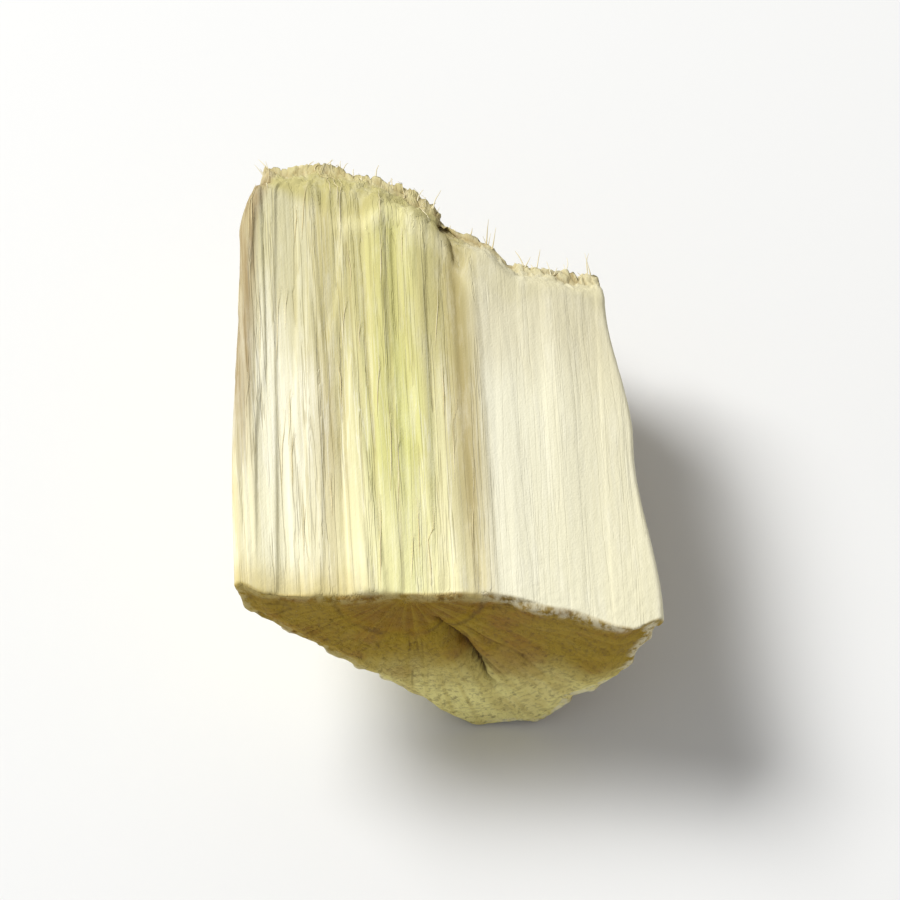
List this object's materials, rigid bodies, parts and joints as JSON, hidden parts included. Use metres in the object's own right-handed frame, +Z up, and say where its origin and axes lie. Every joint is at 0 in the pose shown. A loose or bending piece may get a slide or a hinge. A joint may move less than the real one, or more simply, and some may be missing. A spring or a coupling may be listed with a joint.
{
  "type": "marshmallow root chip",
  "caption": "Cut chip of dried, peeled marshmallow root for tea: a half-round wedge with fibrous cream wood and white bark, its split face up and a narrow keel below.",
  "frame": {"origin": "on the surface it lies on, under the middle of its box", "axes": "+Y along the grain from the clean cut end to the torn end, +Z up out of the split face, +X towards the round bark"},
  "size_m": [0.0093, 0.0117, 0.0053],
  "materials": {
    "dried_root": "dry matt root tissue, cream to white, finely striated along the grain"
  },
  "bodies": {
    "root": {"root_chip": "dried_root"}
  },
  "joints": []
}
